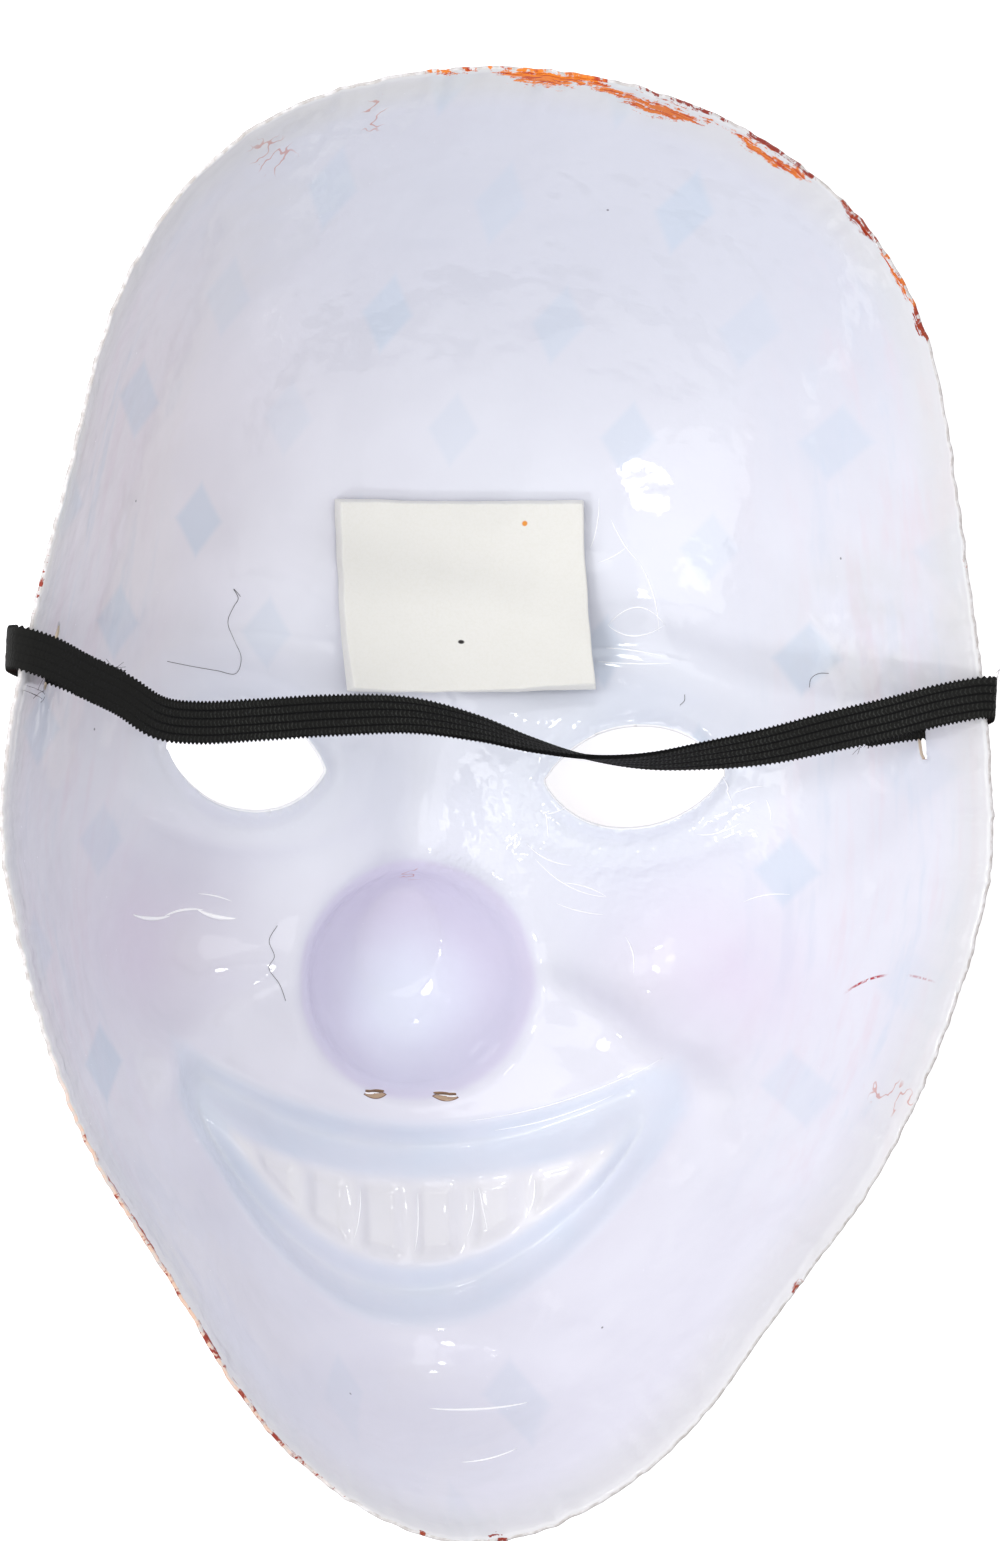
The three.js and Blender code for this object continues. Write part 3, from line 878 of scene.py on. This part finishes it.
# %% Orange paint as it is broken up along the rim
def chipped_paint(finish):
    """Share of paint left near the trimmed edge, and its colour. It was brushed along the rim."""
    around, rim = finish.attribute("around"), finish.attribute("from_rim")
    streaks = finish.noise(1.0, detail=6, roughness=0.75, vector=finish.vector(around * 15.0, rim * 2.6))
    flakes = finish.noise(800, detail=3, roughness=0.7)
    chips = (streaks - 0.5) * 3.2 + (flakes - 0.5) * 1.6
    left = (finish.attribute("paint_left") - 0.06 + chips).step(0.02, 0.16)
    hairs = finish.vector(around * 26.0, rim * 6.0, 3.0)
    shade = finish.noise(1.0, detail=4, roughness=0.7, vector=hairs)
    bright = finish.mix((186, 48, 8), (248, 138, 28), shade.step(0.4, 0.54))
    darker = (finish.attribute("paint_red") * 0.8 + shade * 0.4 - 0.1).step(0.1, 0.8)
    return left, finish.mix(bright, (142, 38, 20), darker)


# %% Inside: the paints that show through the milky sheet
def blot(paint, at_u, at_v, wide, tall):
    """A soft spot with its middle at a place on the face."""
    return (paint["u"] - at_u).hill(wide) * (paint["v"] - at_v).hill(tall)


def shown_through(inside, paint, cloud, patch):
    u, v, w = paint["u"], paint["v"], paint["w"]
    brushed = inside.noise(1.0, detail=3, roughness=0.6, vector=inside.vector(u * 0.17, v * 0.025, w * 0.17))
    at_sides = abs(u).step(44, 74) * 0.5
    # Painted light on the nose: a bluish white middle, a little below and right of the ball's middle, fading
    # out to the violet paint at its edge.
    from_painted_light = ((u - 2) ** 2.0 + (v - NOSE_V + 5) ** 2.0) ** 0.5 / NOSE_RADIUS
    ball = inside.mix((238, 242, 254), (221, 216, 234), (from_painted_light + patch * 0.3 - 0.15).step(0.15, 0.95))
    return inside.coats(
        inside.mix((221, 219, 229), (230, 229, 238), cloud.step(0.3, 0.7)),
        # Lighter in the middle and at the chin, darker towards the top, and painted light that lightens the
        # upper left side; then streaks at the sides.
        ((228, 233, 243), blot(paint, 20, 20, 60, 70) * 0.6),
        ((210, 213, 225), (v + u * 0.1).step(52, 104) * 0.75),
        ((236, 235, 246), blot(paint, 4, -92, 36, 44) * 0.7),
        ((236, 228, 232), blot(paint, -66, 55, 26, 48) * 0.7),
        ((226, 210, 220), brushed.step(0.48, 0.75) * at_sides),
        ((208, 216, 230), brushed.step(0.46, 0.28) * at_sides),
        # The paints on its front.
        ((226, 214, 232), paint["cheek"] * (patch * 0.8 + 0.15)),
        ((213, 222, 235), paint["socket"] * (patch * 0.7 + 0.2)),
        ((195, 211, 229), paint["lozenges"] * (v.step(-100, -60) * 0.5 + 0.5) * (cloud * 0.5 + 0.25)),
        ((217, 227, 240), paint["lips"] * (patch * 0.9 + 0.02)),
        ((234, 233, 236), paint["teeth"] * (1 - paint["lips"]) * 0.8),
        # The nose's violet paint, with painted light in its middle.
        (ball, paint["nose"] * 0.95),
    )


# %% Inside: chipped orange, a smudge, a red scratch, specks, rubbed spots and the nostrils' cut edges
RUBBED = ((-44, 108, 5, 3), (0.6, -13.6, 3, 1.2), (72, -47, 2.5, 3.5), (-27, 116, 2.5, 3))


def worn(inside, colour, paint, patch):
    u, v = paint["u"], paint["v"]
    left, orange = chipped_paint(inside)
    line = abs(v + 26.2 + ((u - 76) ** 2.0) * 0.09).step(0.3, 0.08)
    scratch = line * (u.step(69, 71) * u.step(74.5, 73) + u.step(76, 77) * u.step(79, 78) * 0.5)
    dirt = inside.cells(74.0)
    speck = inside.field(dirt, "Distance").step(0.022, 0.012) * inside.field(dirt, "Color").step(0.62, 0.64)
    scribble = abs(inside.noise(210) - 0.5).step(0.03, 0.01)
    rubbed = blot(paint, *RUBBED[0])
    for place in RUBBED[1:]:
        rubbed = rubbed + blot(paint, *place)
    nostril = ((abs(u) - NOSTRIL["u"]) / NOSTRIL["half_width"]) ** 2.0
    nostril = nostril + abs(v - NOSTRIL["v"]) / NOSTRIL["half_height"]
    return inside.coats(
        colour,
        ((220, 219, 218), inside.attribute("from_rim").step(6, 1) * 0.6),
        (orange, left),
        ((206, 206, 204), blot(paint, 72, 33, 12, 13) * patch.step(0.3, 0.7) * 0.8),
        ((172, 34, 48), scratch * inside.noise(800).step(0.38, 0.5)),
        ((104, 100, 108), speck * 0.8),
        ((196, 116, 96), (scribble * rubbed).step(0.25, 0.7) * 0.6),
        ((112, 76, 58), nostril.step(1.3, 1.15)),
        ((184, 156, 128), nostril.step(1.05, 0.9)),
    )


# %% Inside: gloss, and waves in the sheet that break up its glints
def milky_inside():
    inside = Finish("milky_inside", IOR=1.5)
    paint = painted_places(inside, 1.6)
    cloud = inside.noise(28, detail=3)
    patch = inside.noise(60, detail=3, roughness=0.6)
    colour = worn(inside, shown_through(inside, paint, cloud, patch), paint, patch)
    dust = inside.noise(900).step(0.72, 0.8)
    inside.give(Base_Color=colour, Roughness=0.05 + cloud * 0.03 + dust * 0.25)
    waves, fine = inside.noise(75), inside.noise(240)
    puckered = inside.noise(430, detail=1) * blot(paint, 32, -4, 26, 15)
    inside.bump(waves * 0.9 + fine * 0.14 + puckered * 0.75, 0.0012, 0.6)
    return inside


# %% Front: the painted side
def painted_front():
    front = Finish("painted_front", IOR=1.48)
    paint = painted_places(front, 0.4)
    streaks = front.noise(260, detail=3, roughness=0.6)
    brushed = (front.attribute("from_rim").step(13, 1) * 0.75 + streaks - 0.5).step(0.35, 0.7)
    colour = front.coats(
        front.mix((196, 194, 196), (210, 208, 208), front.noise(30, detail=3)),
        ((206, 108, 128), paint["cheek"] * (0.7 + streaks * 0.3)),
        ((84, 132, 190), paint["socket"].step(0.35, 0.62) * 0.85),
        ((70, 118, 184), paint["lozenges"]),
        ((62, 106, 176), paint["lips"]),
        ((226, 224, 214), paint["teeth"] * (1 - paint["lips"])),
        ((150, 24, 48), paint["nose"]),
        ((176, 66, 8), brushed * 0.85),
    )
    front.give(Base_Color=colour, Roughness=0.34 + streaks * 0.2)
    front.bump(streaks, 0.00012, 0.5)
    return front


# %% The trimmed edge: raw plastic, tan where it is old, with the cut slots and nostrils
def trimmed_edge():
    edge = Finish("trimmed_edge", IOR=1.48)
    left, orange = chipped_paint(edge)
    shade = edge.noise(700, detail=3)
    u, v, w = edge.face_place()
    rim = edge.attribute("from_rim")
    tanned = u.step(-20, -40) * v.step(-40, -60)
    at_slot = rim.step(1, 3) * abs(u).step(60, 70)
    at_nostril = abs(u).step(13, 11) * abs(v - NOSTRIL["v"]).step(4, 3)
    colour = edge.coats(
        edge.mix((196, 190, 188), (232, 230, 232), shade.step(0.3, 0.7)),
        ((216, 170, 140), tanned * shade.step(0.3, 0.6) * 0.8),
        # Painted light: the cut edges far from the rim, round the eye holes, are lightened to near white.
        ((250, 250, 252), rim.step(8, 12)),
        (edge.mix((206, 186, 164), (230, 216, 198), shade), at_slot),
        ((150, 40, 40), at_slot * u.step(60, 70) * w.step(-17.2, -16.4)),
        (edge.mix((112, 76, 56), (178, 146, 114), shade), at_nostril),
        (orange, left),
    )
    edge.give(Base_Color=colour, Roughness=0.45 + shade * 0.2)
    edge.bump(shade, 0.0001, 0.6)
    return edge


# %% The shell: sheet, thickness and finishes
shell = finished_piece(
    "mask_shell_formed",
    formed_sheet(),
    [painted_front(), milky_inside(), trimmed_edge()],
    "mask_shell",
)
wall = shell.modifiers.new("wall", "SOLIDIFY")
wall.thickness = WALL * MM
wall.offset = -1
wall.material_offset = 1
wall.material_offset_rim = 2

# %% [markdown]
# ## The foam pad
# The pad is a rectangle of soft cream foam, cut with a blade and glued to the inside of the forehead. It is
# thin, so it follows the sheet, and its cut sides are square with a slightly rounded edge. A flat grid is
# laid on the face's form, extruded into a slab, and finished with a small bevel. The foam's open cells are
# too small to model one by one, so they are bump and colour.

# %% Foam slab on the forehead
PAD = {"u": 4.1, "v": 37.1, "width": 46, "height": 35, "thick": 3.5, "over": 1.4}
PAD_TURN = 0.05
PAD_SKEW = 0.068
PAD_CELLS = (45, 35)
ROUNDING = 0.35


def foam_slab():
    bm = bmesh.new()
    bmesh.ops.create_grid(bm, x_segments=PAD_CELLS[0], y_segments=PAD_CELLS[1], size=0.5)
    raised = bmesh.ops.extrude_face_region(bm, geom=bm.faces[:])["geom"]
    top = {item for item in raised if isinstance(item, bmesh.types.BMVert)}
    for vert in bm.verts:
        x, y = vert.co.x * PAD["width"], vert.co.y * PAD["height"]
        edge = noise.noise(Vector((x / 6, y / 6, 2))) * 0.25
        x, y = x + edge * (abs(vert.co.x) > 0.499), y + edge * (abs(vert.co.y) > 0.499)
        x = x - PAD_SKEW * y
        u = PAD["u"] + x * math.cos(PAD_TURN) - y * math.sin(PAD_TURN)
        v = PAD["v"] + x * math.sin(PAD_TURN) + y * math.cos(PAD_TURN)
        crown = noise.noise(Vector((x / 9, y / 9, 7))) * 0.14
        lift = PAD["over"] + (PAD["thick"] + crown if vert in top else 0)
        place = face_points(np.array([u]), np.array([v]), -lift, 0.0, 0.0)
        vert.co = lay_down(place, floor=lift)[0]
    bmesh.ops.recalc_face_normals(bm, faces=bm.faces)
    return bm


# %% Cream foam, rounded a little where it was cut
def cream_foam():
    """Foam with a black speck and an orange one, as in the photograph."""
    foam = Finish("cream_foam", Roughness=0.95, Sheen_Weight=0.15)
    u, v, _ = foam.face_place()
    cell = foam.field(foam.cells(2100.0), "Distance")
    colour = foam.coats(
        foam.mix((225, 224, 218), (233, 232, 227), foam.noise(60, detail=3)),
        ((222, 220, 210), cell.step(0.4, 0.8) * 0.2),
        ((44, 40, 40), ((u - 3.7) ** 2.0 + ((v - 28.7) * 1.6) ** 2.0).step(0.5, 0.15)),
        ((226, 146, 60), ((u - 13.9) ** 2.0 + (v - 50.5) ** 2.0).step(0.35, 0.1)),
    )
    foam.give(Base_Color=colour)
    foam.bump(cell + foam.noise(900, detail=3) * 0.5, 0.00008, 0.3)
    return foam


pad = finished_piece("forehead_pad_foam", foam_slab(), [cream_foam()], "forehead_pad")
rounding = pad.modifiers.new("rounding", "BEVEL")
rounding.width = ROUNDING * MM
rounding.segments = 3
rounding.angle_limit = math.radians(50)

# %% [markdown]
# ## Lint
# A few dark hairs and fibres cling to the plastic, as they do to any mask that has been worn. Each is a
# thread that lies on the sheet: a ring of a few corners, extruded from place to place along its way.

# %% Hairs on the sheet
HAIR = 0.045
FIBRE_STEP = 0.15
FIBRE_CURL = 0.22
LONG_HAIRS = [
    [(-51, 22.2), (-46, 21.4), (-41, 20.8), (-37.3, 20.5), (-36, 23.4), (-37.4, 26.9), (-38.9, 30.4),
     (-38.1, 33.1), (-37.4, 34.6), (-38.6, 36.2), (-37, 35)],
    [(-26.1, -23.6), (-27.3, -26.4), (-26.3, -29.5), (-27.3, -31.7), (-25.6, -34.3), (-24.4, -36.9)],
    [(25, 26.2), (26.4, 26.3), (27.2, 27.3)],
    [(63.5, 23.6), (63.6, 25.2), (64.5, 26.1), (65.8, 26.2)],
    [(43.8, 19), (44.6, 19.8), (44.8, 20.9)],
]
# Each tuft: its place, how many fibres it has and how far they spread.
FUZZ = [
    ((-80.5, 14.6, -0.6), 7, 2.2),
    ((-65.2, 19.8, -17.2), 14, 1.3),
    ((84.4, 26, 1.0), 5, 2.0),
    ((66.8, 13.6, -18), 6, 1.0),
]


def hair_line(stops):
    """Face places of a hair that lies on the sheet, rounded off between its stops."""
    stops = np.array([(u, v, 0) for u, v in stops], float)
    line, _ = even_route(stops, 12 * len(stops))
    return face_points(line[:, 0], line[:, 1], -WALL - HAIR * 0.9)


def fuzz_lines():
    """Short curled fibres that stand out of the braid where it is cut or rubbed."""
    chance = np.random.default_rng(5)
    for place, fibres, spread in FUZZ:
        for _ in range(fibres):
            start = np.array(place) + chance.uniform(-0.5, 0.5, 3) * spread
            first, second = chance.normal(0, FIBRE_STEP, (2, 3))
            steps = np.arange(7)[:, None]
            yield start + first * steps + second * steps**2 * FIBRE_CURL


# %% Threads, for hairs and for creases
def thread(bm, line, radius, pointed=0.0):
    """A thin round thread: a ring of five corners, extruded along its way, with ends as thin as is asked."""
    line = lay_down(line)
    ahead = np.gradient(line, axis=0)
    ahead /= np.linalg.norm(ahead, axis=1)[:, None]
    ring = bmesh.ops.create_circle(bm, segments=5, radius=radius * MM, cap_ends=False)["verts"]
    shape = [vert.co.copy() for vert in ring]
    edges = list(dict.fromkeys(edge for vert in ring for edge in vert.link_edges))
    for k, (place, direction) in enumerate(zip(line, ahead)):
        if k:
            made = bmesh.ops.extrude_edge_only(bm, edges=edges)["geom"]
            ring = [item for item in made if isinstance(item, bmesh.types.BMVert)]
            edges = [item for item in made if isinstance(item, bmesh.types.BMEdge)]
        turn = Vector(direction).to_track_quat("Z", "Y")
        along = 2 * k / (len(line) - 1) - 1
        for vert, corner in zip(ring, shape):
            vert.co = Vector(place) + turn @ corner * (1 - pointed * along**2)


# %% All hairs and fibres as one piece
def lint():
    bm = bmesh.new()
    for stops in LONG_HAIRS:
        thread(bm, hair_line(stops), HAIR)
    for line in fuzz_lines():
        thread(bm, line, HAIR * 0.8)
    return closed(bm)


def dark_hair():
    hair = Finish("dark_hair", Roughness=0.5)
    hair.give(Base_Color=hair.mix((34, 30, 32), (70, 64, 66), hair.noise(900)))
    return hair


finished_piece("lint_hairs", lint(), [dark_hair()])

# %% [markdown]
# ## Creases
# Thin plastic that is bent sharply keeps a fine raised line there, and the line turns white. Each is a thread
# half sunk in the sheet, thin at both ends, in white plastic with a faint glow that is painted light: it
# stands for the glints along the creases. Most are by the pad and round one eye.

# %% Creases, white, with a faint glow as painted glints
HAIRLINE = 0.13
PROUD = 0.05
# Each crease: its two ends in u and v, how far its middle bows to the left of the line, and its radius.
CREASES = [
    ((27.6, 56), (26.9, 47), 0.5, HAIRLINE),
    ((30, 52.5), (35.5, 45), -0.5, HAIRLINE),
    ((35.5, 45), (40.4, 32.8), 0.7, HAIRLINE),
    ((33.3, 47.7), (28.6, 44.5), 0.4, HAIRLINE),
    ((31.5, 33.6), (41.2, 34), 3.1, HAIRLINE),
    ((31.5, 33.6), (41.2, 34), -2.0, HAIRLINE),
    ((31.9, 29.3), (41.5, 28.2), 0.3, HAIRLINE),
    ((30.6, 26.4), (43, 26.9), -0.3, HAIRLINE),
    ((18.4, 3.2), (21.8, -5.6), 0.6, HAIRLINE),
    ((19.9, -1.1), (24.4, 0.4), -0.5, HAIRLINE),
    ((18.2, -6.6), (26.4, -10), -0.9, HAIRLINE),
    ((20, -9.4), (33.8, -15.6), -1.6, HAIRLINE),
    ((25.5, -13.5), (33.8, -15.6), 0.6, HAIRLINE),
    ((24.4, -17.3), (33.8, -18.9), -0.4, HAIRLINE),
    ((38.5, -22.8), (40.7, -29.8), 0.8, HAIRLINE),
    ((50.2, 7), (52.6, 2.2), 0.3, HAIRLINE),
    ((53, 4), (57.5, 5.5), 0.4, HAIRLINE),
    ((53, 1.5), (56.4, 3), -0.3, HAIRLINE),
    ((58.1, 3.3), (59.2, -0.4), 0.3, HAIRLINE),
    ((47.5, -3.4), (54.6, -1), -0.8, HAIRLINE),
    ((-54, -22.6), (-46, -22.6), -0.6, 0.42),
    ((-47.2, -22.7), (-39.6, -21.2), 0.6, 0.26),
    ((-40.6, -21.2), (-33.4, -22.6), -0.5, 0.46),
    ((-41, -18.2), (-34.6, -19.4), 0.3, HAIRLINE),
    ((57, -15.4), (63.4, -13.6), 0.6, HAIRLINE),
    ((11, -57.3), (44, -44.6), -1.8, HAIRLINE),
    ((16, -58.6), (36, -51.2), -1.0, HAIRLINE),
    ((1.8, -108), (17.4, -105.3), -0.8, 0.3),
    ((3.6, -115), (13.4, -112.2), -0.5, 0.18),
    ((-9.6, -70.5), (-10.6, -79), 0.2, HAIRLINE),
    ((1.3, -71), (0.5, -81), 0.2, HAIRLINE),
    ((11.4, -70), (10.3, -78), 0.3, HAIRLINE),
    ((12.4, -69.5), (14.2, -77), 0.2, HAIRLINE),
    ((21.8, -67.5), (20.6, -74), 0.3, 0.2),
]


# %% Each crease is a thread half sunk in the sheet
def crease_line(start, end, bow):
    """Face places of a bowed line that lies on the sheet."""
    start, end = np.array(start, float), np.array(end, float)
    run = end - start
    aside = np.array([-run[1], run[0]]) / np.linalg.norm(run)
    share = np.linspace(0, 1, 25)[:, None]
    u, v = (start + run * share + aside * bow * 4 * share * (1 - share)).T
    return face_points(u, v, -WALL - PROUD)


def creases():
    bm = bmesh.new()
    for start, end, bow, radius in CREASES:
        thread(bm, crease_line(start, end, bow), radius, pointed=0.8)
    return closed(bm)


def crease_glint_plastic():
    # Painted highlight: a near-white colour and a faint glow stand for the glints along each crease.
    white = Finish("crease_glint_plastic", Roughness=0.18, Emission_Color=(1, 1, 1, 1), Emission_Strength=0.12)
    white.give(Base_Color=white.mix((240, 240, 246), (255, 255, 255), white.noise(900)))
    return white


finished_piece("sheet_creases_painted_glints", creases(), [crease_glint_plastic()])

# %% [markdown]
# ## Floor and light
# The photograph is of an object on plain white with soft, even light and a few small bright lamps, which
# show as sharp glints in the glossy hollow. A pale sky all round and three large soft lamps give the even
# part. Four small lamps give the glints. Each stands where the sheet mirrors it at or near one of them.


# %% White floor, even sky, lamps
FLOOR_GLOW = 0.45
SKY = 0.62
AIM = (0, 0, -40)


def white_floor():
    bm = bmesh.new()
    bmesh.ops.create_grid(bm, x_segments=1, y_segments=1, size=3.0)
    bmesh.ops.translate(bm, verts=bm.verts, vec=(0, 0, -0.0002))
    paper = Finish("white_paper", Roughness=0.9, Emission_Color=(1, 1, 1, 1), Emission_Strength=FLOOR_GLOW)
    paper.give(Base_Color=paper.mix((244, 244, 245), (248, 248, 248), paper.noise(6)))
    mesh_object("floor", bm, [paper])


def lamp(name, place, size, watts):
    """A round or oval lamp at a place in face coordinates, in metres, that shines into the hollow."""
    data = bpy.data.lights.new(name, "AREA")
    data.shape = "ELLIPSE"
    data.size, data.size_y = size
    data.energy = watts
    middle, place = (Vector(point) for point in lay_down([AIM, [part / MM for part in place]]))
    look = (middle - place).to_track_quat("-Z", "Y").to_matrix().to_4x4()
    placed(name, data).matrix_world = Matrix.Translation(place) @ look


white_floor()
lamp("forehead_lamp", (-0.6, -0.62, 0.84), (0.1, 0.24), 1.9)
lamp("nose_lamp", (-0.62, 0.16, 0.88), (0.2, 0.28), 1.7)
lamp("side_lamp", (-0.9, -0.14, 0.6), (0.26, 0.3), 0.4)
lamp("top_lamp", (-0.35, 0.8, 0.7), (0.14, 0.14), 0.8)
lamp("soft_front", (-0.1, 0.0, 1.25), (0.9, 0.9), 2.5)
lamp("soft_left", (-1.1, -0.3, 0.8), (1.5, 1.5), 5.5)
lamp("soft_right", (0.8, 0.2, 1.0), (0.9, 0.9), 0.6)

world = bpy.data.worlds.new("even_sky")
world.use_nodes = True
sky = world.node_tree.nodes["Background"].inputs
sky["Color"].default_value = (1, 1, 1, 1)
sky["Strength"].default_value = SKY
bpy.context.scene.world = world
bpy.context.scene.view_settings.view_transform = "Standard"
